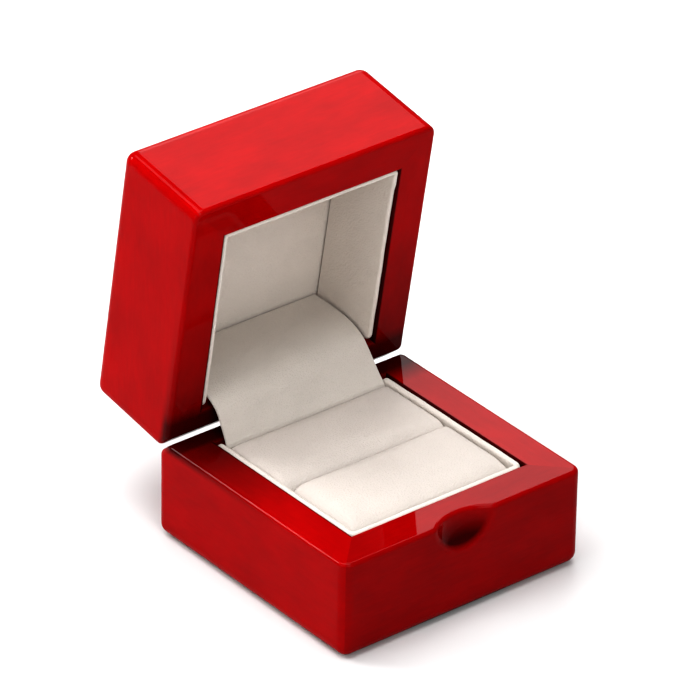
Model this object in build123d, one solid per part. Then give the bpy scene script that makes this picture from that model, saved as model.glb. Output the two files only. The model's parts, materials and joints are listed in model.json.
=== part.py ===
from build123d import *
import math
import os

# Ring box: a lacquered wooden base and lid on a back hinge, lined in leatherette,
# with a two-part ring cushion. Millimetres, +Z up. The origin is the centre of the
# underside; the front (thumb scoop) faces -Y and the hinge line runs along X at the back.

# ---- driving dimensions -------------------------------------------------------------
WIDTH = 60.0             # outside, along X and along Y
BASE_TOP = 21.9          # height of the base's rim
FOOT = 0.3               # how far the felt pad holds the wood off the table
LID_HEIGHT = 23.8        # rim to top of the lid
SEAM = 0.2               # gap between the two rims when shut
RAIL = 8.2               # thickness of the wooden walls
OUTER_R = 2.4            # upright corners, underside and lid's top edges
RIM_R = 0.9              # outer edge of each rim, and its arris with the back bevel
INNER_R = 0.35           # inner edge of each rim
BEVEL = 3.8              # back bevel's inset from the back face
BEVEL_ANGLE = 40.0       # slope of each back bevel below its rim
BEVEL_END_R = 1.2        # where a back bevel meets the sides

CLEAR = 0.05             # hairline left between pieces that only touch
HINGE_Y = 26.9
HINGE_Z = 22.3
OPEN_ANGLE = 80.6        # how far the lid stands open, as modelled

PANEL_LAP = 4.0          # how far a panel is let into the walls
BASE_PANEL_T = 4.0
LID_PANEL_T = 5.1
FELT_T = 0.75
FELT_W = 51.0
FELT_CORNER_R = 2.0
PANEL_RECESS = 0.5       # the floor panel sits this far up inside the walls

LINING_T = 1.4
LINING_GAP = 0.1
LIP_DROP = 0.1           # linings stop this far short of the rims
LIP_R = 0.55
CEILING_T = 0.8
COVER_T = 0.5
COVER_W = 40.2

BOARD_T = 1.6
PAD_W = 40.4
PAD_CROWN = 21.7
PAD_CORNER_R = 1.0
PAD_EDGE_R = 0.95
FRONT_PAD_Y = (-20.2, 0.4)
REAR_PAD_Y = (0.5, 19.5)

SCOOP_R = 11.0           # the thumb scoop is cut by a ball centred in front of the rim
SCOOP_Y = -38.3
SCOOP_FLARE = 3.0        # how softly it runs out into the front face

KNUCKLE_R = 0.95
BORE_R = 0.5
PIN_R = 0.45
HINGE_W = 26.0
LEAF_T = 0.6
LEAF_INSET = 0.1         # plates lie this far inside the rims' planes
LEAF_REACH = 1.6         # from the hinge line to the edge of each plate
LEAF_BEND_R = 0.45
LID_KNUCKLE_W = 9.6
LEAF_FLANGE = 7.5
SCREW_HEAD_R = 1.1
SCREW_HEAD_T = 0.4
SCREW_R = 0.5
SCREW_LENGTH = 4.5
SCREW_X = 8.5
SCREW_DROP = 5.1         # from a rim to its row of screws
SPRING_T = 0.25

# ---- derived ------------------------------------------------------------------------
HALF = WIDTH / 2
INSIDE = HALF - RAIL                       # half of the opening in each rim
LID_RIM = BASE_TOP + SEAM                  # lid rim's height when shut
LID_TOP = LID_RIM + LID_HEIGHT
PANEL_HALF = INSIDE + PANEL_LAP
BASE_FLOOR = FOOT + PANEL_RECESS + BASE_PANEL_T     # upper face of the floor panel
LID_CEILING = LID_TOP - LID_PANEL_T        # inner face of the top panel
LINING_OUT = INSIDE - LINING_GAP
LINING_IN = LINING_OUT - LINING_T
LEAF_FACE = INSIDE - CLEAR - LEAF_T         # front face of the hinge flanges
BASE_LEAF_TOP = BASE_TOP - LEAF_INSET
LID_LEAF_LOW = LID_RIM + LEAF_INSET
HINGE_LINE = Axis((0, HINGE_Y, HINGE_Z), (1, 0, 0))


def block(x0, x1, y0, y1, z0, z1):
    """A box from its six limits."""
    size = Box(abs(x1 - x0), abs(y1 - y0), abs(z1 - z0))
    return Pos((x0 + x1) / 2, (y0 + y1) / 2, (z0 + z1) / 2) * size


def rod_x(radius, x0, x1, y, z):
    """A cylinder lying along X."""
    rod = Rot(0, 90, 0) * Cylinder(radius, x1 - x0)
    return Pos((x0 + x1) / 2, y, z) * rod


def rod_y(radius, y0, y1, x, z):
    """A cylinder lying along Y."""
    rod = Rot(90, 0, 0) * Cylinder(radius, y1 - y0)
    return Pos(x, (y0 + y1) / 2, z) * rod


def opened(shape):
    """Swing a piece of the shut lid back to the modelled open pose."""
    return shape.rotate(HINGE_LINE, -OPEN_ANGLE)


def round_edges(shape, edges, radius):
    """Round the edges and keep the shape plain where that can't be done."""
    try:
        rounded = fillet(edges, radius)
    except Exception:
        print("left sharp:", len(edges), "edges", radius)
        return shape
    return rounded if rounded.volume > 0 else shape


def prism_x(points, x0, x1):
    """Extrude a polygon given as (y, z) points along X."""
    face = make_face(Polyline(*[(0, y, z) for y, z in points], close=True))
    solid = extrude(face, amount=x1 - x0, dir=(1, 0, 0))
    return Pos(x0, 0, 0) * solid


# ---- wooden shells ------------------------------------------------------------------
def bevel_ends(body, z_rim, up):
    """The edges where the back bevel meets the sides and the upright back corners."""
    slope = math.tan(math.radians(BEVEL_ANGLE))

    def off_bevel(point):
        return abs(z_rim - up * (point.Y - HALF + BEVEL) * slope - point.Z)

    return [e for e in body.edges() if abs(e.center().X) > HALF - OUTER_R
            and max(off_bevel(p) for p in (e.start_point(), e.center(), e.end_point())) < 0.02]


def shell(z_rim, z_outer, scooped=False):
    """A wooden tray with rounded outside, back bevel and a through opening."""
    low, high = min(z_rim, z_outer), max(z_rim, z_outer)
    up = 1 if z_rim > z_outer else -1
    body = block(-HALF, HALF, -HALF, HALF, low, high)
    uprights = body.edges().filter_by(Axis.Z)
    skirt = body.edges().filter_by(lambda e: abs(e.center().Z - z_outer) < 0.01)
    body = fillet(uprights + skirt, OUTER_R)
    drop = math.tan(math.radians(BEVEL_ANGLE)) * (BEVEL + 2)
    apex = HALF - BEVEL
    body -= prism_x([(apex, z_rim), (HALF + 2, z_rim - up * drop), (HALF + 2, z_rim + up * 2),
                     (apex, z_rim + up * 2)], -HALF - 1, HALF + 1)
    body = round_edges(body, bevel_ends(body, z_rim, up), BEVEL_END_R)
    if scooped:
        body = scoop(body)
    rim = body.edges().filter_by(lambda e: abs(e.center().Z - z_rim) < 0.01
                                 and abs(e.center().Y - apex) > 0.3)
    body = round_edges(body, rim, RIM_R)
    body -= block(-INSIDE, INSIDE, -INSIDE, INSIDE, low - 1, high + 1)
    inner = body.edges().filter_by(lambda e: abs(e.center().Z - z_rim) < 0.01
                                   and max(abs(e.center().X), abs(e.center().Y)) < INSIDE + 0.01)
    return round_edges(body, inner, INNER_R)


def wedge(side, z0, z1):
    """The 45-degree mitre wedge that one wall is cut from."""
    reach = HALF + 5
    outline = Polyline((0, 0), (reach, -reach), (reach, reach), close=True)
    solid = extrude(make_face(outline), amount=z1 - z0)
    turn = {"right": 0, "back": 90, "left": 180, "front": 270}[side]
    return Pos(0, 0, z0) * (Rot(0, 0, turn) * solid)


def hinge_recess(up, z_rim):
    """Space for the barrel and for one leaf in a back wall."""
    half = HINGE_W / 2 + 0.3
    barrel = rod_x(KNUCKLE_R + 0.35, -half, half, HINGE_Y, HINGE_Z)
    tray = block(-half, half, INSIDE - 0.5, HINGE_Y, z_rim - up * 0.8, z_rim + up * 2)
    return barrel + tray


def screw_places(z):
    """Where the leaf screws sit: two to a leaf."""
    return [(x, z) for x in (-SCREW_X, SCREW_X)]


def scoop(body):
    """Cut the thumb scoop and flare it into the front face."""
    body -= Pos(0, SCOOP_Y, BASE_TOP) * Sphere(SCOOP_R)
    mouth = body.edges().filter_by(lambda e: abs(e.center().Y + HALF) < 0.01
                                   and e.geom_type != GeomType.LINE and e.center().Z > 12
                                   and e.center().Z < BASE_TOP - 0.4)
    return round_edges(body, mouth, SCOOP_FLARE)


def base_shell():
    body = shell(BASE_TOP, FOOT, scooped=True)
    body -= block(-PANEL_HALF, PANEL_HALF, -PANEL_HALF, PANEL_HALF, FOOT - 1, BASE_FLOOR)
    return body


def lid_shell():
    body = shell(LID_RIM, LID_TOP)
    pocket = block(-PANEL_HALF, PANEL_HALF, -PANEL_HALF, PANEL_HALF, LID_CEILING, LID_TOP + 1)
    return body - pocket


def walls(body, side, z0, z1):
    return body & wedge(side, z0, z1)


def base_floor_panel():
    half = PANEL_HALF
    return block(-half, half, -half, half, BASE_FLOOR - BASE_PANEL_T, BASE_FLOOR)


def lid_top_panel():
    half = PANEL_HALF
    return block(-half, half, -half, half, LID_CEILING, LID_TOP)


def base_felt_pad():
    pad = block(-FELT_W / 2, FELT_W / 2, -FELT_W / 2, FELT_W / 2, 0, FELT_T)
    return fillet(pad.edges().filter_by(Axis.Z), FELT_CORNER_R)


# ---- linings ------------------------------------------------------------------------
def lining(side, z0, z1):
    """One lining board: its ends are mitred at the front and square at the back."""
    if side == "front":
        board = block(-LINING_OUT, LINING_OUT, -LINING_OUT, -LINING_IN, z0, z1)
        return board & wedge("front", z0, z1)
    sign = 1 if side == "right" else -1
    xs = sorted((sign * LINING_IN, sign * LINING_OUT))
    board = block(xs[0], xs[1], -LINING_OUT, LINING_OUT, z0, z1)
    keep = wedge(side, z0, z1) + wedge("back", z0, z1)
    return board & keep


def rounded_lip(board, z_lip):
    """Round the top of a lining board where the leatherette turns over it."""
    lip = board.edges().filter_by(lambda e: abs(e.center().Z - z_lip) < 0.01 and e.length > 10)
    return round_edges(board, lip, LIP_R)


def base_lining(side):
    lip = BASE_TOP - LIP_DROP
    board = lining(side, BASE_FLOOR + CLEAR, lip)
    return rounded_lip(board, lip)


def lid_lining(side):
    lip = LID_RIM + LIP_DROP
    board = lining(side, lip, LID_CEILING - CEILING_T - CLEAR)
    return rounded_lip(board, lip)


def lid_ceiling():
    half = LINING_OUT
    return block(-half, half, -half, half, LID_CEILING - CEILING_T, LID_CEILING)


# ---- cushion ------------------------------------------------------------------------
def cushion_board():
    z0 = BASE_FLOOR + CLEAR
    return block(-PAD_W / 2, PAD_W / 2, FRONT_PAD_Y[0], REAR_PAD_Y[1], z0, z0 + BOARD_T)


def cushion_pad(y_range):
    z0 = BASE_FLOOR + CLEAR + BOARD_T
    pad = block(-PAD_W / 2, PAD_W / 2, y_range[0], y_range[1], z0, PAD_CROWN)
    pad = fillet(pad.edges().filter_by(Axis.Z), PAD_CORNER_R)
    top = pad.edges().group_by(Axis.Z)[-1]
    return round_edges(pad, top, PAD_EDGE_R)


# ---- hinge --------------------------------------------------------------------------
def knuckle(x0, x1):
    return rod_x(KNUCKLE_R, x0, x1, HINGE_Y, HINGE_Z)


def bend(leaf, z):
    """Round the outside of a leaf's bend."""
    corner = leaf.edges().filter_by(lambda e: abs(e.center().Z - z) < 0.01
                                    and abs(e.center().Y - LEAF_FACE) < 0.01)
    return round_edges(leaf, corner, LEAF_BEND_R)


def base_leaf():
    """Two outer knuckles, a plate over the rim and a flange down the wall."""
    half = HINGE_W / 2
    gap = LID_KNUCKLE_W / 2 + 0.2
    top = BASE_LEAF_TOP
    leaf = block(-half, half, LEAF_FACE, HINGE_Y - LEAF_REACH, top - LEAF_T, top)
    leaf += block(-half, half, LEAF_FACE, INSIDE - CLEAR, top - LEAF_FLANGE, top)
    leaf = bend(leaf, top)
    for x0, x1 in ((-half, -gap), (gap, half)):
        leaf += block(x0, x1, HINGE_Y - LEAF_REACH - 0.1, HINGE_Y, top - LEAF_T, top)
        leaf += knuckle(x0, x1)
    leaf -= rod_x(BORE_R, -half - 1, half + 1, HINGE_Y, HINGE_Z)
    for x, z in screw_places(BASE_TOP - SCREW_DROP):
        leaf -= rod_y(SCREW_R + 0.1, INSIDE - 2, INSIDE + 1, x, z)
    return leaf


def lid_leaf():
    """The middle knuckle, a plate under the lid's rim and a flange up the wall."""
    half = HINGE_W / 2
    mid = LID_KNUCKLE_W / 2
    low = LID_LEAF_LOW
    leaf = block(-half, half, LEAF_FACE, HINGE_Y - LEAF_REACH, low, low + LEAF_T)
    leaf += block(-half, half, LEAF_FACE, INSIDE - CLEAR, low, low + LEAF_FLANGE)
    leaf = bend(leaf, low)
    leaf += block(-mid, mid, HINGE_Y - LEAF_REACH - 0.1, HINGE_Y, low, low + LEAF_T)
    leaf += knuckle(-mid, mid)
    leaf -= rod_x(BORE_R, -half - 1, half + 1, HINGE_Y, HINGE_Z)
    for x, z in screw_places(LID_RIM + SCREW_DROP):
        leaf -= rod_y(SCREW_R + 0.1, INSIDE - 2, INSIDE + 1, x, z)
    return leaf


def hinge_pin():
    return rod_x(PIN_R, -HINGE_W / 2, HINGE_W / 2, HINGE_Y, HINGE_Z)


def hinge_spring():
    """The flat spring that bears on the lid's knuckle."""
    top = BASE_LEAF_TOP
    half = LID_KNUCKLE_W / 2 - 0.6
    return block(-half, half, INSIDE + 0.4, HINGE_Y - KNUCKLE_R - 0.1, top, top + SPRING_T)


def leaf_screws(z):
    """Two countersunk screws, driven back into the wall."""
    screws = []
    face = LEAF_FACE
    for x, zc in screw_places(z):
        head = rod_y(SCREW_HEAD_R, face - SCREW_HEAD_T, face, x, zc)
        shank = rod_y(SCREW_R, face - 0.1, face + SCREW_LENGTH, x, zc)
        slot = block(x - 1.5, x + 1.5, face - 1, face - SCREW_HEAD_T + 0.2, zc - 0.12, zc + 0.12)
        screws.append(head + shank - slot)
    return screws


def screw_holes(z):
    holes = [rod_y(SCREW_R + 0.02, INSIDE - 1, INSIDE + SCREW_LENGTH, x, zc) for x, zc in screw_places(z)]
    return holes[0] + holes[1]


def offset_path(points, distance):
    """Points moved sideways, to the right of the direction of travel."""
    moved = []
    for i, (y, z) in enumerate(points):
        before = points[max(i - 1, 0)]
        after = points[min(i + 1, len(points) - 1)]
        dy, dz = after[0] - before[0], after[1] - before[1]
        length = math.hypot(dy, dz)
        moved.append((y + distance * dz / length, z - distance * dy / length))
    return moved


def hinge_cover():
    """The leatherette sheet from behind the rear pad, over the hinge, up to the lid's ceiling."""
    path = [(19.9, 11.0), (19.9, 16.0), (19.95, 20.3), (20.9, 22.6), (22.9, 25.6),
            (25.2, 28.2), (28.4, 30.0), (33.0, 30.9), (38.0, 31.3), (43.1, 31.3)]
    back = offset_path(path, COVER_T)
    front_edge = Spline(*[(0, y, z) for y, z in path])
    back_edge = Spline(*[(0, y, z) for y, z in back])
    ends = [Line((0, *path[0]), (0, *back[0])), Line((0, *path[-1]), (0, *back[-1]))]
    face = make_face([front_edge, back_edge] + ends)
    sheet = extrude(face, amount=COVER_W, dir=(1, 0, 0))
    return Pos(-COVER_W / 2, 0, 0) * sheet


# ---- assembly -----------------------------------------------------------------------
def save(name, shape):
    solids = shape if isinstance(shape, list) else list(shape.solids())
    item = solids[0] if len(solids) == 1 else Compound(children=solids)
    item.label = name
    export_step(item, "parts/" + name + ".step")
    print(name, len(solids), round(sum(s.volume for s in solids), 2))


def build_base():
    body = base_shell()
    body -= hinge_recess(1, BASE_TOP)
    body -= screw_holes(BASE_TOP - SCREW_DROP)
    for side in ("front", "back", "left", "right"):
        save("base_" + side + "_rail", walls(body, side, -1, BASE_TOP + 1))
    save("base_floor_panel", base_floor_panel())
    save("base_felt_pad", base_felt_pad())
    for side in ("front", "left", "right"):
        save("base_lining_" + side, base_lining(side))
    save("cushion_board", cushion_board())
    save("cushion_front_pad", cushion_pad(FRONT_PAD_Y))
    save("cushion_rear_pad", cushion_pad(REAR_PAD_Y))
    save("hinge_base_leaf", base_leaf())
    save("hinge_pin", hinge_pin())
    save("hinge_spring", hinge_spring())
    save("base_hinge_screws", leaf_screws(BASE_TOP - SCREW_DROP))
    save("hinge_cover", hinge_cover())


def build_lid():
    body = lid_shell()
    body -= hinge_recess(-1, LID_RIM)
    body -= screw_holes(LID_RIM + SCREW_DROP)
    for side in ("front", "back", "left", "right"):
        save("lid_" + side + "_rail", opened(walls(body, side, LID_RIM - 1, LID_TOP + 1)))
    save("lid_top_panel", opened(lid_top_panel()))
    for side in ("front", "left", "right"):
        save("lid_lining_" + side, opened(lid_lining(side)))
    save("lid_lining_ceiling", opened(lid_ceiling()))
    save("hinge_lid_leaf", opened(lid_leaf()))
    save("lid_hinge_screws", [opened(s) for s in leaf_screws(LID_RIM + SCREW_DROP)])


os.makedirs("parts", exist_ok=True)
build_base()
build_lid()
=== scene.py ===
import json
import math
import bmesh
import bpy
from mathutils import Matrix, Vector


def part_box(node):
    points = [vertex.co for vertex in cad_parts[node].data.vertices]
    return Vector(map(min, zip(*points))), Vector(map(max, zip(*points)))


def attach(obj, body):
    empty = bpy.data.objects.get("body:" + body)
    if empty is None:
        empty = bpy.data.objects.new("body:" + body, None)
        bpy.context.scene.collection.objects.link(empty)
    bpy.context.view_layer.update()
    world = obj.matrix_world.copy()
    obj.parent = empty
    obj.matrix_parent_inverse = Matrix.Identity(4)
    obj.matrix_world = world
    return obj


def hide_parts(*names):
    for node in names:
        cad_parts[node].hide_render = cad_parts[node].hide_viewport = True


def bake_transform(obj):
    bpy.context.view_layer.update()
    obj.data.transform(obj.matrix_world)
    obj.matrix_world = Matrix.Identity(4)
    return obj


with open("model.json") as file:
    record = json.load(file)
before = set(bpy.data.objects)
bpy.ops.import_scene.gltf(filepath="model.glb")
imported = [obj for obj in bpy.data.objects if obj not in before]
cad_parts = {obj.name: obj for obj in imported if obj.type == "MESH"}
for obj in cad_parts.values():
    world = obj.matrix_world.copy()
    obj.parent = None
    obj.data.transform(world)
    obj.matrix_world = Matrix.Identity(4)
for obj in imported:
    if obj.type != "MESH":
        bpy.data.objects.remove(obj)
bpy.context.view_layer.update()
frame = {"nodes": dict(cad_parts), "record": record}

MM = 0.001
NODES = frame["nodes"]

# The lid's pieces are made shut and then swung open about the hinge, as the CAD part is.
HINGE = next(j for j in frame["record"]["behaviour"]["joints"] if j["name"] == "lid_hinge")
PIVOT = Vector(HINGE["pos_m"])
OPEN = math.radians(HINGE["range_deg"][1])
SWING = Matrix.Translation(PIVOT) @ Matrix.Rotation(-OPEN, 4, "X") @ Matrix.Translation(-PIVOT)

SEAM = 0.2 * MM                      # gap between the rims when shut
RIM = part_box("base_right_rail")[1].z
LID_RIM = RIM + SEAM
LID_DEEP = 17.9 * MM                 # lid's rim to its ceiling
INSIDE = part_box("base_right_rail")[0].x      # inner face of the side rails
FRONT_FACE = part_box("base_front_rail")[0].y
FLOOR_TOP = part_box("base_floor_panel")[1].z


# ---- mesh helpers ---------------------------------------------------------------------
def smooth(obj, angle=None):
    for poly in obj.data.polygons:
        poly.use_smooth = True
    if angle is not None:
        obj.data.set_sharp_from_angle(angle=math.radians(angle))


def mesh_object(name, verts, faces):
    mesh = bpy.data.meshes.new(name)
    mesh.from_pydata([tuple(v) for v in verts], [], faces)
    mesh.validate()
    obj = bpy.data.objects.new(name, mesh)
    bpy.context.collection.objects.link(obj)
    bm = bmesh.new()
    bm.from_mesh(mesh)
    bmesh.ops.recalc_face_normals(bm, faces=bm.faces)
    bm.to_mesh(mesh)
    bm.free()
    return obj


def apply_modifiers(obj):
    deps = bpy.context.evaluated_depsgraph_get()
    baked = bpy.data.meshes.new_from_object(obj.evaluated_get(deps))
    obj.modifiers.clear()
    old = obj.data
    obj.data = baked
    bpy.data.meshes.remove(old)


def grid_faces(columns, rows):
    """Faces over a grid of points stored row by row."""
    return [(j * columns + i, j * columns + i + 1, (j + 1) * columns + i + 1, (j + 1) * columns + i)
            for j in range(rows - 1) for i in range(columns - 1)]


def loft(name, rings):
    """A closed skin through rings of equal length, with its ends capped."""
    count = len(rings[0])
    verts = [p for ring in rings for p in ring]
    faces = []
    for r in range(len(rings) - 1):
        for i in range(count):
            j = (i + 1) % count
            faces.append((r * count + i, r * count + j, (r + 1) * count + j, (r + 1) * count + i))
    faces.append(tuple(reversed(range(count))))
    faces.append(tuple(range((len(rings) - 1) * count, len(rings) * count)))
    return mesh_object(name, verts, faces)


def thicken(obj, thickness, upward, even=False):
    """Give a sheet a thickness on its upper or its lower side."""
    up = sum(p.normal.z for p in obj.data.polygons) > 0
    solid = obj.modifiers.new("thickness", "SOLIDIFY")
    solid.thickness = thickness
    solid.offset = 1 if up == upward else -1
    solid.use_even_offset = even
    apply_modifiers(obj)


def place(obj, body, material, node):
    """Finish a piece: its material, its body and the CAD node it replaces."""
    obj.data.materials.clear()
    obj.data.materials.append(material)
    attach(obj, body)
    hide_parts(node)


# ---- materials ------------------------------------------------------------------------
class Nodes:
    """Short calls for building one procedural material."""

    def __init__(self, name):
        self.mat = bpy.data.materials.new(name)
        self.mat.use_nodes = True
        self.tree = self.mat.node_tree
        self.shader = self.tree.nodes["Principled BSDF"]
        self.coords = self.tree.nodes.new("ShaderNodeTexCoord").outputs["Object"]

    def add(self, kind, inputs=None, **settings):
        node = self.tree.nodes.new(kind)
        for key, value in settings.items():
            setattr(node, key, value)
        for key, value in (inputs or {}).items():
            self.put(node.inputs[key], value)
        return node

    def put(self, socket, value):
        if hasattr(value, "is_output"):
            self.tree.links.new(value, socket)
        else:
            socket.default_value = value

    def set(self, **inputs):
        for key, value in inputs.items():
            self.put(self.shader.inputs[key.replace("_", " ")], value)

    def mapped(self, scale):
        node = self.add("ShaderNodeMapping", {"Vector": self.coords, "Scale": scale})
        return node.outputs["Vector"]

    def noise(self, scale, detail, rough, vector=None, distortion=0.0):
        inputs = {"Vector": vector or self.coords, "Scale": scale, "Detail": detail,
                  "Roughness": rough, "Distortion": distortion}
        return self.add("ShaderNodeTexNoise", inputs).outputs["Fac"]

    def ramp(self, value, low, high, stops):
        """Map value from low..high onto colours."""
        node = self.add("ShaderNodeValToRGB", {"Fac": value})
        ramp = node.color_ramp
        span = len(stops) - 1
        while len(ramp.elements) < len(stops):
            ramp.elements.new(0.5)
        for i, colour in enumerate(stops):
            ramp.elements[i].position = low + (high - low) * i / span
            ramp.elements[i].color = (*colour, 1)
        return node.outputs["Color"]

    def span(self, value, low, high, to_low, to_high):
        """Map value from low..high onto to_low..to_high, held at both ends."""
        inputs = {"Value": value, "From Min": low, "From Max": high, "To Min": to_low, "To Max": to_high}
        return self.add("ShaderNodeMapRange", inputs).outputs["Result"]

    def mix(self, a, b, share):
        """a and b added, with b's share given."""
        return self.math("ADD", self.math("MULTIPLY", a, 1 - share), self.math("MULTIPLY", b, share))

    def darken(self, colour, amount):
        return self.vector("SCALE", colour, self.math("SUBTRACT", 1.0, amount))

    def math(self, operation, a, b=0.0):
        node = self.add("ShaderNodeMath", operation=operation)
        self.put(node.inputs[0], a)
        self.put(node.inputs[1], b)
        return node.outputs[0]

    def vector(self, operation, a, b=None):
        node = self.add("ShaderNodeVectorMath", operation=operation)
        self.put(node.inputs[0], a)
        if operation == "SCALE":
            self.put(node.inputs["Scale"], b)
        elif b is not None:
            self.put(node.inputs[1], b)
        return node.outputs["Value" if operation in ("LENGTH", "DOT_PRODUCT") else "Vector"]

    def bump(self, height, distance, strength):
        inputs = {"Height": height, "Distance": distance, "Strength": strength}
        return self.add("ShaderNodeBump", inputs).outputs["Normal"]


STAIN_REDS = (0.262, 0.295, 0.33)            # deepest to palest red of the stained wood
GRAIN_ALONG = {"x": (0.12, 1, 1), "y": (1, 0.12, 1), "z": (1, 1, 0.12)}
RIM_BAND = (1.0 * MM, 2.5 * MM)              # below the rim, where the painted hinge shade fades out
HINGE_SHADE_FADE = (8 * MM, 32 * MM)               # from the hinge line, where the broad painted shade fades out
HINGE_CORNER = (4 * MM, 10 * MM)             # the same for the darkest painted shade, close to the hinge
INNER_ARRIS = (INSIDE + 0.25 * MM, INSIDE + 0.6 * MM)    # painted shade on a strip beside the linings
INNER_ARRIS_LEFT = 0.15                      # share of the colour left on that strip
SCOOP_WIDE = (10 * MM, 14 * MM)              # the scoop's painted shade fades out beside it,
SCOOP_DEEP = (FRONT_FACE + 0.15 * MM, FRONT_FACE + 0.8 * MM)     # begins behind the face
SCOOP_TOP = (RIM - 5 * MM, RIM - 1 * MM)     # and stops below the rim
# how far the painted shade darkens the scoop
SCOOP_SHADE = 0.82


def lacquer(name, along, tone, rim_normal=None, hinge_shade=(0.7, 0.86), shade_in_scoop=False):
    """Clear-coated red stain over close-grained wood; the grain runs along X, Y or Z.

    Painted shade darkens the colour on the rim near the hinge (broad, and darkest close to it),
    on a strip beside the linings, and in the scoop where one is given; a tone below or above 1
    makes a shaded or lit copy of the lacquer."""
    m = Nodes(name)
    stretch = GRAIN_ALONG[along]
    grain = m.noise(1500, 5, 0.6, m.mapped(stretch), 0.6)
    mottle = m.noise(160, 3, 0.6, m.mapped(tuple(0.4 + 0.6 * s for s in stretch)))
    colour = m.ramp(m.mix(grain, mottle, 0.65), 0.36, 0.64, [(r * tone, 0.0, 0.001) for r in STAIN_REDS])
    place_of = m.add("ShaderNodeSeparateXYZ", {0: m.coords}).outputs
    off_centre = m.math("ABSOLUTE", place_of["X"])
    # on the side rails, painted shade on the strip beside the linings
    if along != "x":
        colour = m.vector("SCALE", colour, m.span(off_centre, *INNER_ARRIS, INNER_ARRIS_LEFT, 1.0))
    # painted shade on the rim near the hinge, broad and darkest close to it
    if rim_normal:
        gap = m.vector("SUBTRACT", m.coords, tuple(PIVOT))
        on_rim = m.span(m.math("ABSOLUTE", m.vector("DOT_PRODUCT", gap, rim_normal)), *RIM_BAND, 1.0, 0.0)
        radius = m.vector("LENGTH", m.vector("MULTIPLY", gap, (0, 1, 1)))
        broad_shade = m.span(radius, *HINGE_SHADE_FADE, hinge_shade[0], 0.0)
        darkest_shade = m.span(radius, *HINGE_CORNER, hinge_shade[1], 0.0)
        colour = m.darken(colour, m.math("MULTIPLY", m.math("MAXIMUM", broad_shade, darkest_shade), on_rim))
    # painted shade in the scoop, low down and behind the front face
    if shade_in_scoop:
        beside = m.span(off_centre, *SCOOP_WIDE, 1.0, 0.0)
        recessed = m.span(place_of["Y"], *SCOOP_DEEP, 0.0, 1.0)
        low_down = m.span(place_of["Z"], *SCOOP_TOP, SCOOP_SHADE, 0.0)
        colour = m.darken(colour, m.math("MULTIPLY", m.math("MULTIPLY", recessed, low_down), beside))
    m.set(Base_Color=colour, Roughness=0.4, Specular_IOR_Level=0.0)
    m.set(Coat_Weight=0.35, Coat_Roughness=0.03, Coat_IOR=1.3)
    m.set(Coat_Normal=m.bump(m.noise(90, 2, 0.5), 0.00002, 0.25))
    return m.mat


def shade(colour, share):
    return tuple(share * c for c in colour)


def leatherette(name, colour):
    """Cream coated fabric with a fine pebble grain."""
    m = Nodes(name)
    cells = m.add("ShaderNodeTexVoronoi", {"Vector": m.coords, "Scale": 2600}, feature="F1")
    fine = m.noise(5200, 2, 0.5)
    broad = m.noise(120, 3, 0.55)
    tones = [shade(colour, k) for k in (0.965, 1.0, 1.02)]
    height = m.math("ADD", cells.outputs["Distance"], m.math("MULTIPLY", fine, 0.4))
    m.set(Base_Color=m.ramp(m.mix(broad, fine, 0.3), 0.35, 0.65, tones))
    m.set(Roughness=0.6, Specular_IOR_Level=0.2, Sheen_Weight=0.05, Sheen_Roughness=0.4)
    m.set(Normal=m.bump(height, 0.00012, 0.9))
    return m.mat


def metal(name, colour, roughness):
    """Plated or plain metal, brushed along X."""
    m = Nodes(name)
    brushed = m.noise(3000, 3, 0.6, m.mapped((0.08, 1, 1)))
    m.set(Base_Color=m.ramp(brushed, 0.3, 0.7, [shade(colour, 0.85), colour]), Metallic=1.0)
    m.set(Roughness=m.span(brushed, 0.3, 0.7, roughness - 0.08, roughness + 0.08))
    m.set(Normal=m.bump(brushed, 0.00001, 0.3))
    return m.mat


def felt(name, colour):
    """Short fibres, for the felt and for raw board."""
    m = Nodes(name)
    fibre = m.noise(9000, 4, 0.7)
    m.set(Base_Color=m.ramp(fibre, 0.3, 0.7, [shade(colour, 0.6), shade(colour, 1.5)]))
    m.set(Roughness=0.95, Sheen_Weight=0.4, Specular_IOR_Level=0.1)
    m.set(Normal=m.bump(fibre, 0.0001, 0.8))
    return m.mat


CREAM = (0.70, 0.645, 0.59)
UP = (0, 0, 1)
LID_UP = tuple(SWING.to_3x3() @ Vector(UP))
# the base's lacquers carry painted shade on the rim near the hinge; the right rail keeps only its darkest
# part
LACQUER = {axis: lacquer("lacquer_" + axis, axis, 1.0, UP) for axis in "xy"}
RIGHT_LACQUER = lacquer("lacquer_right", "y", 1.0, UP, (0.0, 0.85))
# the lid's lacquer is a lit copy, painted a tenth lighter, with painted shade near the hinge
LID_LACQUER_LIT = {axis: lacquer("lid_lacquer_lit_" + axis, axis, 1.1, LID_UP, (0.4, 0.8)) for axis in "xz"}
# the front rail's lacquer is a shaded copy, painted darker, with painted shade in its scoop
FRONT_LACQUER_SHADED = lacquer("lacquer_scooped_shaded", "x", 0.78, shade_in_scoop=True)
LINING = leatherette("lining_leatherette", CREAM)
# the base's lining is a shaded copy of the cream, painted darker
BASE_LINING = leatherette("base_lining_shaded_leatherette", shade(CREAM, 0.86))
# the hinge cover is a shaded copy of the cream, painted darker
COVER = leatherette("cover_shaded_leatherette", shade(CREAM, 0.83))
CUSHION = leatherette("cushion_leatherette", (0.51, 0.465, 0.43))
BRASS = metal("brass_plate", (0.78, 0.58, 0.30), 0.28)
STEEL = metal("spring_steel", (0.42, 0.43, 0.45), 0.35)
FELT = felt("black_felt", (0.02, 0.02, 0.022))
BOARD = felt("grey_board", (0.35, 0.33, 0.30))

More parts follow.
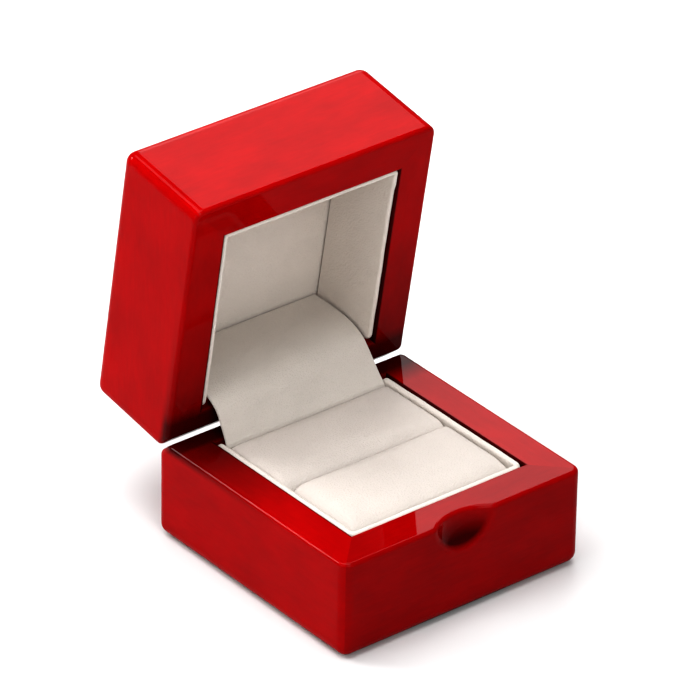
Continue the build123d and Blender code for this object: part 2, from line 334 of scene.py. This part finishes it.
CAD_LOOKS = {
    "base_front_rail": FRONT_LACQUER_SHADED, "base_back_rail": LACQUER["x"],
    "base_left_rail": LACQUER["y"], "base_right_rail": RIGHT_LACQUER,
    "base_floor_panel": LACQUER["x"], "base_felt_pad": FELT, "cushion_board": BOARD,
    "lid_front_rail": LID_LACQUER_LIT["x"], "lid_back_rail": LID_LACQUER_LIT["x"],
    "lid_left_rail": LID_LACQUER_LIT["z"], "lid_right_rail": LID_LACQUER_LIT["z"],
    "lid_top_panel": LID_LACQUER_LIT["x"],
    "hinge_base_leaf": BRASS, "hinge_lid_leaf": BRASS, "hinge_pin": BRASS,
    "base_hinge_screws": BRASS, "lid_hinge_screws": BRASS, "hinge_spring": STEEL,
}
for node, look in CAD_LOOKS.items():
    slots = NODES[node].data.materials
    if not slots:
        slots.append(look)
    for i in range(len(slots)):
        slots[i] = look


# ---- linings ----------------------------------------------------------------------------
LINING_OUT = 21.7 * MM               # centre to the linings' outer faces
LINING_BACK = 21.6 * MM              # where the side linings end, at the hinge
BASE_LIP = RIM - 0.1 * MM
LID_LIP = LID_RIM + 0.1 * MM
BASE_LINING_T = 1.4 * MM
LID_LINING_T = 0.95 * MM
BASE_LIP_R = 0.62 * MM               # height of the lip's roll
LID_LIP_R = 0.45 * MM
BASE_CORNER_R = 1.9 * MM
LID_CORNER_R = 0.9 * MM
BASE_END_R = 1.2 * MM                # rounding of the back ends, seen from the side
LID_END_R = 1.8 * MM
RIGHT_STEP = 0.35 * MM               # the lid's right lining sits this much deeper
STEP_FROM = 4 * MM                   # its step begins here, measured from the front corner
STEP_LONG = 1.5 * MM
WAVER = 0.06 * MM
CEILING_T = 0.6 * MM
CEILING_EDGE = 0.12 * MM
CEILING_CROWN = 0.25 * MM


def lip_profile(thick, drop, lip_r):
    """(inward, height) outline of a lining board, its top rolled over; height 0 is the lip."""
    outline = [(0, -drop), (0, -lip_r)]
    steps = 9
    half = thick / 2
    for i in range(steps + 1):
        a = math.pi * i / steps
        outline.append((half - half * math.cos(a), -lip_r + lip_r * math.sin(a)))
    outline += [(thick, -lip_r * 1.6), (thick, -drop)]
    return outline


def corner_path(radius, side):
    """Plan path of one board's outer face, from the arc's middle at each shared corner."""
    arc = [math.radians(a) for a in range(0, 46, 9)]
    cx, cy = LINING_OUT - radius, -LINING_OUT + radius
    if side == "front":
        right = [(cx + radius * math.sin(a), cy - radius * math.cos(a)) for a in arc]
        left = [(-x, y) for x, y in reversed(right)]
        return left + [(-cx + 2 * cx * i / 30, -LINING_OUT) for i in range(1, 30)] + right
    length = LINING_BACK - cy
    along = [length * i / 30 for i in range(1, 28)]
    along += [length - 2.6 * MM * (1 - i / 9) for i in range(10)]
    path = [(cx + radius * math.cos(a), cy - radius * math.sin(a)) for a in reversed(arc)]
    path += [(LINING_OUT, cy + d) for d in sorted(along)]
    return path if side == "right" else [(-x, y) for x, y in reversed(path)]


def inward_at(path, i):
    """Unit direction into the box at one point of a path."""
    here = Vector(path[i])
    tangent = Vector((0, 0))
    if i:
        tangent += (here - Vector(path[i - 1])).normalized()
    if i < len(path) - 1:
        tangent += (Vector(path[i + 1]) - here).normalized()
    tangent.normalize()
    return Vector((-tangent.y, tangent.x))


def board_strip(name, path, profile, lip_z, up, end_r, step=0.0):
    """Sweep a lining profile along a plan path. up is 1 where the lip faces +Z, -1 in the lid.

    The lip wavers a little where the cover is folded over, and rounds off at the back end."""
    rings = []
    drop = min(h for _, h in profile)
    for i, (x, y) in enumerate(path):
        inward = inward_at(path, i)
        to_end = min(LINING_BACK - y, end_r)
        sunk = end_r - math.sqrt(max(end_r ** 2 - (end_r - to_end) ** 2, 0))
        sunk += step * min(max((y + LINING_OUT - STEP_FROM) / STEP_LONG, 0), 1)
        sunk -= WAVER * math.sin(x * 410 + y * 530) * math.sin(x * 170 - y * 240 + 1)
        rings.append([(x + inward.x * u, y + inward.y * u, lip_z + up * (h - (0 if h == drop else sunk)))
                      for u, h in profile])
    strip = loft(name, rings)
    if up < 0:
        strip.data.transform(SWING)
    smooth(strip, 50)
    return strip


def make_linings():
    base_profile = lip_profile(BASE_LINING_T, BASE_LIP - FLOOR_TOP - 0.05 * MM, BASE_LIP_R)
    lid_profile = lip_profile(LID_LINING_T, LID_DEEP - 0.5 * MM, LID_LIP_R)
    for side in ("front", "left", "right"):
        path = corner_path(BASE_CORNER_R, side)
        strip = board_strip("base_lining_" + side + "_wrap", path, base_profile, BASE_LIP, 1, BASE_END_R)
        place(strip, "base", BASE_LINING, "base_lining_" + side)
        path = corner_path(LID_CORNER_R, side)
        step = RIGHT_STEP if side == "right" else 0.0
        strip = board_strip("lid_lining_" + side + "_wrap", path, lid_profile, LID_LIP, -1, LID_END_R, step)
        place(strip, "lid", LINING, "lid_lining_" + side)


def make_ceiling():
    """The lid's padded ceiling, a little crowned."""
    count = 24
    verts = []
    for j in range(count + 1):
        for i in range(count + 1):
            u, v = 2 * i / count - 1, 2 * j / count - 1
            crown = CEILING_CROWN * (1 - u ** 8) * (1 - v ** 8)
            verts.append((u * LINING_OUT, v * LINING_OUT, LID_RIM + LID_DEEP + CEILING_EDGE - crown))
    obj = mesh_object("lid_lining_ceiling_pad", verts, grid_faces(count + 1, count + 1))
    thicken(obj, CEILING_T, upward=True)
    obj.data.transform(SWING)
    smooth(obj, 50)
    place(obj, "lid", LINING, "lid_lining_ceiling")


# ---- cushion ------------------------------------------------------------------------------
PAD_GRID = 1.0 * MM
PAD_VOXEL = 0.6 * MM
PAD_PRESSURE = 4.0
PAD_SWELL = 0.5 * MM                 # the most a point may move in the simulation
SIM_FRAMES = 20


def inflate(obj):
    """Blow the pad up a little with cloth, and cap how far a point may move."""
    start = [v.co.copy() for v in obj.data.vertices]
    cloth = obj.modifiers.new("cloth", "CLOTH")
    cloth.settings.use_pressure = True
    cloth.settings.uniform_pressure_force = PAD_PRESSURE
    cloth.settings.effector_weights.gravity = 0
    cloth.settings.quality = 6
    cloth.settings.mass = 0.3
    cloth.point_cache.frame_start = 1
    cloth.point_cache.frame_end = SIM_FRAMES
    for f in range(1, SIM_FRAMES + 1):
        bpy.context.scene.frame_set(f)
    apply_modifiers(obj)
    for v, home in zip(obj.data.vertices, start):
        move = v.co - home
        if move.length > PAD_SWELL:
            v.co = home + move * (PAD_SWELL / move.length)
    bpy.context.scene.frame_set(1)


def rolled_line(low, high, roll_low, roll_high):
    """Places along one side of a pad, closer together where its edges roll over."""
    turn = [1 - math.cos(math.radians(a)) for a in range(0, 90, 15)]
    start = [low + roll_low * t for t in turn]
    end = [high - roll_high * t for t in reversed(turn)]
    span = (high - roll_high) - (low + roll_low)
    count = max(2, round(span / PAD_GRID))
    middle = [low + roll_low + span * i / count for i in range(count + 1)]
    return start + middle + end


def roll_share(value, low, high, roll_low, roll_high):
    """0 on the flat of the pad, rising to 1 at the very edge."""
    return max(0.0, 1 - (value - low) / roll_low, 1 - (high - value) / roll_high)


def round_plan(x, y, mid, high, radius):
    """Pull a plan point in, so the pad's corner is rounded."""
    px = math.copysign(max(abs(x - mid.x) - (high.x - mid.x - radius), 0), x - mid.x)
    py = math.copysign(max(abs(y - mid.y) - (high.y - mid.y - radius), 0), y - mid.y)
    if not (px and py):
        return x, y
    shrink = 1 - max(abs(px), abs(py)) / math.hypot(px, py)
    return x - px * shrink, y - py * shrink


def pad_block(name, low, high, rolls, crown, corners, shallow):
    """The pad before it is blown up: a crowned top whose edges roll over, on straight sides."""
    left, right, front, back = (width * MM for width, _ in rolls)
    xs = rolled_line(low.x, high.x, left, right)
    ys = rolled_line(low.y, high.y, front, back)
    mid = (low + high) / 2
    verts = []
    for y in ys:
        for x in xs:
            u = 2 * (x - low.x) / (high.x - low.x) - 1
            v = 2 * (y - low.y) / (high.y - low.y) - 1
            a = min(roll_share(x, low.x, high.x, left, right), 1)
            b = min(roll_share(y, low.y, high.y, front, back), 1)
            deep_x = rolls[0 if x < mid.x else 1][1] * MM
            deep_y = rolls[2 if y < mid.y else 3][1] * MM * (1 - shallow * max(0, 2 * u - 1))
            depth = (deep_x * a * a + deep_y * b * b) / (a * a + b * b + 1e-9)
            drop = depth * (1 - math.sqrt(1 - max(a, b) ** 2))
            sag = crown * MM * (1 - (1 - u ** 4) * (1 - v ** 4))
            radius = corners[(x > mid.x) + 2 * (y > mid.y)] * MM
            verts.append((*round_plan(x, y, mid, high, radius), high.z - sag - drop))
    nx, ny = len(xs), len(ys)
    faces = grid_faces(nx, ny)
    rim = list(range(nx)) + [j * nx + nx - 1 for j in range(1, ny)]
    rim += [(ny - 1) * nx + i for i in range(nx - 2, -1, -1)] + [j * nx for j in range(ny - 2, 0, -1)]
    base, count = len(verts), len(rim)
    verts += [(verts[i][0], verts[i][1], low.z) for i in rim]
    faces += [(rim[i], base + i, base + (i + 1) % count, rim[(i + 1) % count]) for i in range(count)]
    faces.append(tuple(base + i for i in range(count)))
    return mesh_object(name, verts, faces)


def make_pad(node, rolls, crown, corners, shallow=0.0):
    """A foam pad in leatherette, inside its CAD node's box; all sizes in millimetres.

    rolls are the (width, depth) over which its left, right, front and back edges turn down,
    corners its plan radii: front left, front right, back left, back right. shallow is the
    share by which the front and back rolls fade out towards the right end."""
    low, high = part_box(node)
    obj = pad_block(node + "_wrap", low, high, rolls, crown, corners, shallow)
    remesh = obj.modifiers.new("voxels", "REMESH")
    remesh.mode = "VOXEL"
    remesh.voxel_size = PAD_VOXEL
    apply_modifiers(obj)
    inflate(obj)
    for v in obj.data.vertices:
        for axis in range(2):
            v.co[axis] = min(max(v.co[axis], low[axis]), high[axis])
        v.co.z = max(v.co.z, low.z)
    relax = obj.modifiers.new("relax", "SMOOTH")
    relax.factor = 0.5
    relax.iterations = 5
    sub = obj.modifiers.new("sub", "SUBSURF")
    sub.levels = sub.render_levels = 1
    apply_modifiers(obj)
    smooth(obj)
    place(obj, "base", CUSHION, node)


# ---- hinge cover --------------------------------------------------------------------------
# Its side edges as (y, z) in millimetres, from inside the base to the lid's ceiling.
COVER_HALF = 20.1 * MM
COVER_T = 0.45 * MM
COVER_LEFT = [(19.6, 12.0), (19.6, 16.0), (19.6, 20.2), (20.3, 22.6), (21.6, 25.2),
              (23.4, 28.1), (27.0, 30.2), (32.6, 31.2), (38.0, 31.4), (43.0, 31.3)]
COVER_RIGHT = [(19.9, 12.0), (19.9, 16.0), (19.95, 20.4), (22.0, 22.9), (23.9, 25.1),
               (25.6, 27.1), (28.0, 29.2), (32.4, 30.7), (38.0, 31.2), (43.0, 31.3)]


def catmull(points, per_span):
    """A smooth line through points."""
    ends = [points[0]] + list(points) + [points[-1]]
    line = []
    for i in range(1, len(ends) - 2):
        p0, p1, p2, p3 = (Vector(p) for p in ends[i - 1:i + 3])
        for k in range(per_span):
            t = k / per_span
            line.append(0.5 * (2 * p1 + (p2 - p0) * t + (2 * p0 - 5 * p1 + 4 * p2 - p3) * t * t
                               + (3 * p1 - p0 - 3 * p2 + p3) * t ** 3))
    line.append(Vector(points[-1]))
    return line


def make_cover():
    """The leatherette strip that hides the hinge, stretched from the base up into the lid."""
    left, right = catmull(COVER_LEFT, 6), catmull(COVER_RIGHT, 6)
    count = 32
    verts = []
    for a, b in zip(left, right):
        for i in range(count + 1):
            p = a.lerp(b, i / count)
            verts.append((COVER_HALF * (2 * i / count - 1), p.x * MM, p.y * MM))
    obj = mesh_object("hinge_cover_sheet", verts, grid_faces(count + 1, len(left)))
    thicken(obj, COVER_T, upward=False, even=True)
    smooth(obj, 60)
    obj.data.materials.clear()
    obj.data.materials.append(COVER)
    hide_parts("hinge_cover")
    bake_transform(obj)


# ---- studio ---------------------------------------------------------------------------------
FLOOR_HALF = 3.0
FLOOR_GREY = (0.6, 0.6, 0.6, 1)
WORLD_GREYS = ((0.35, (0.3, 0.3, 0.3, 1)), (0.75, (0.2, 0.2, 0.2, 1)))     # (height, grey), low to high
# name, place, aim (metres), side of the square (metres), power (watts)
LIGHTS = [
    ("overhead", (-0.12, 0.07, 1.15), (0, 0, 0.03), 1.0, 13.0),
    ("rim_card", (0.54, 0.67, 0.53), (0, 0, 0.022), 0.3, 1.15),
    ("top_card", (0.54, 0.50, 0.78), (0, 0.03, 0.08), 0.3, 1.0),
    ("front", (-0.4, -1.1, 0.9), (0, 0, 0.03), 0.6, 5.8),
    ("edge_box", (-0.46, 0.60, 0.51), (-0.03, 0, 0.02), 0.25, 3.0),
    ("left_box", (-0.7, 0.0, 0.3), (0, 0, 0.03), 0.4, 0.9),
]


def area_light(name, where, aim, size, power):
    light = bpy.data.lights.new(name, "AREA")
    light.shape = "SQUARE"
    light.size = size
    light.energy = power
    obj = bpy.data.objects.new(name, light)
    obj.location = where
    obj.rotation_euler = (Vector(aim) - Vector(where)).to_track_quat("-Z", "Y").to_euler()
    bpy.context.collection.objects.link(obj)


def make_world():
    """A plain grey surround, a little darker towards the top."""
    scene = bpy.context.scene
    scene.world = scene.world or bpy.data.worlds.new("studio")
    scene.world.use_nodes = True
    tree = scene.world.node_tree
    height = tree.nodes.new("ShaderNodeSeparateXYZ")
    ramp = tree.nodes.new("ShaderNodeValToRGB")
    tree.links.new(tree.nodes.new("ShaderNodeTexCoord").outputs["Generated"], height.inputs[0])
    tree.links.new(height.outputs["Z"], ramp.inputs["Fac"])
    tree.links.new(ramp.outputs["Color"], tree.nodes["Background"].inputs["Color"])
    for stop, (position, grey) in zip(ramp.color_ramp.elements, WORLD_GREYS):
        stop.position = position
        stop.color = grey


def make_studio():
    corners = [(-1, -1), (1, -1), (1, 1), (-1, 1)]
    floor = mesh_object("studio_floor", [(FLOOR_HALF * x, FLOOR_HALF * y, 0) for x, y in corners],
                        [(0, 1, 2, 3)])
    m = Nodes("studio_white")
    m.set(Base_Color=FLOOR_GREY, Roughness=0.8)
    floor.data.materials.append(m.mat)
    make_world()
    for light in LIGHTS:
        area_light(*light)
    bpy.context.scene.view_settings.view_transform = "Standard"
    bpy.context.scene.view_settings.look = "High Contrast"


# ---- camera ---------------------------------------------------------------------------------
AZIMUTH = math.radians(-39.12)
ELEVATION = math.radians(30.64)
ROLL = math.radians(1.01)
DISTANCE = 1.3255
AIM = Vector((0, 0, 0.025))
SLIDE_RIGHT = -4.17 * MM
SLIDE_UP = 17.69 * MM
LENS_MM = 345.4
SENSOR_MM = 36


def make_camera():
    back = Vector((math.sin(AZIMUTH) * math.cos(ELEVATION), -math.cos(AZIMUTH) * math.cos(ELEVATION),
                   math.sin(ELEVATION)))
    right = Vector((0, 0, 1)).cross(back).normalized()
    up = back.cross(right)
    side = right * math.cos(ROLL) + up * math.sin(ROLL)
    top = up * math.cos(ROLL) - right * math.sin(ROLL)
    camera = bpy.data.cameras.new("camera")
    camera.sensor_width = SENSOR_MM
    camera.lens = LENS_MM
    camera.clip_start = 0.05
    obj = bpy.data.objects.new("camera", camera)
    turn = Matrix((side, top, back)).transposed().to_4x4()
    where = AIM + back * DISTANCE + right * SLIDE_RIGHT + up * SLIDE_UP
    obj.matrix_world = Matrix.Translation(where) @ turn
    bpy.context.collection.objects.link(obj)
    bpy.context.scene.camera = obj


make_linings()
make_ceiling()
make_pad("cushion_front_pad", rolls=((4.8, 3.6), (1.4, 1.1), (6.5, 3.2), (0.9, 0.8)),
         crown=0.3, corners=(1.0, 1.0, 1.6, 0.8))
make_pad("cushion_rear_pad", rolls=((1.4, 1.2), (0.7, 0.6), (4.8, 2.9), (0.7, 0.6)),
         crown=0.25, corners=(0.8, 0.8, 0.8, 0.8), shallow=0.65)
make_cover()
make_studio()
make_camera()
